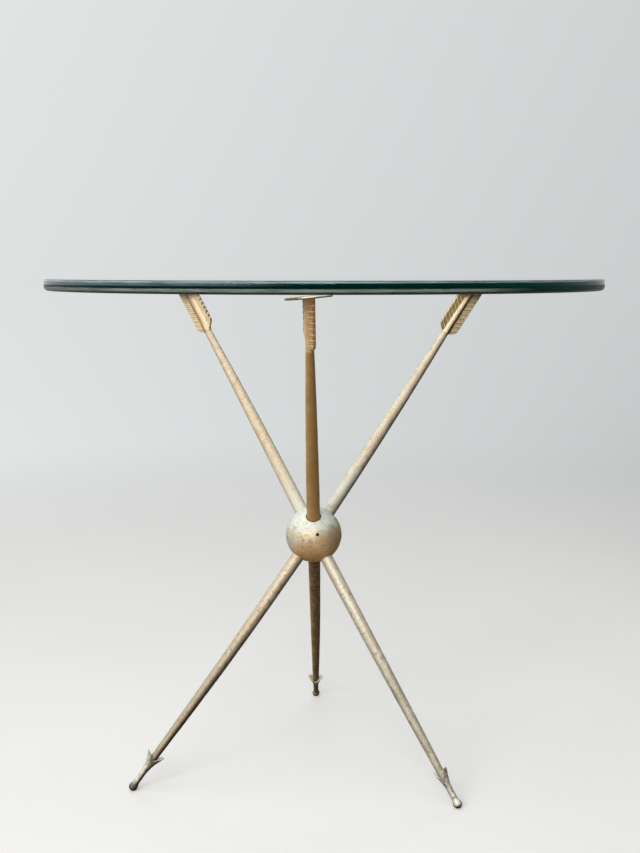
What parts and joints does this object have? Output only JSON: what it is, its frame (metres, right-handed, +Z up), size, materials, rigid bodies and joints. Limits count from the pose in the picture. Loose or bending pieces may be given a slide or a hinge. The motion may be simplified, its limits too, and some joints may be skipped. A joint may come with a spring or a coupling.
{
  "type": "tripod table",
  "caption": "Round glass side table carried by crossed brass arrows that meet in a ball and stand on the knobs at their points.",
  "frame": {"origin": "on the floor under the centre of the glass top", "axes": "+Z up, +X to the right and +Y to the back, seen from the front of the table"},
  "size_m": [0.6, 0.6, 0.556],
  "materials": {
    "clear_glass": "polished, green at the edge",
    "ball_brass": "aged brass with a pale green bloom on top",
    "upper_shaft_brass": "aged brass, worn satin",
    "lower_shaft_brass": "tarnished brass",
    "head_brass": "tarnished cast brass",
    "fletching_brass": "cast brass with coppery hollows",
    "plate_brass": "brown brass plate",
    "clear_bumper": "soft, clear to milky"
  },
  "bodies": {
    "frame": {"hub_ball": "ball_brass", "arrow_1_head": "head_brass", "arrow_1_lower_shaft": "lower_shaft_brass", "arrow_1_upper_shaft": "upper_shaft_brass", "arrow_1_fletching": "fletching_brass", "arrow_1_rest_plate": "plate_brass", "arrow_1_bumper": "clear_bumper", "arrow_2_head": "head_brass", "arrow_2_lower_shaft": "lower_shaft_brass", "arrow_2_upper_shaft": "upper_shaft_brass", "arrow_2_fletching": "fletching_brass", "arrow_2_rest_plate": "plate_brass", "arrow_2_bumper": "clear_bumper", "arrow_3_head": "head_brass", "arrow_3_lower_shaft": "lower_shaft_brass", "arrow_3_upper_shaft": "upper_shaft_brass", "arrow_3_fletching": "fletching_brass", "arrow_3_rest_plate": "plate_brass", "arrow_3_bumper": "clear_bumper"},
    "top": {"glass_top": "clear_glass"}
  },
  "joints": [
    {"name": "glass_lift", "type": "slide", "parent": "frame", "child": "top", "axis": [0, 0, 1], "range_m": [0, 0.1]}
  ]
}
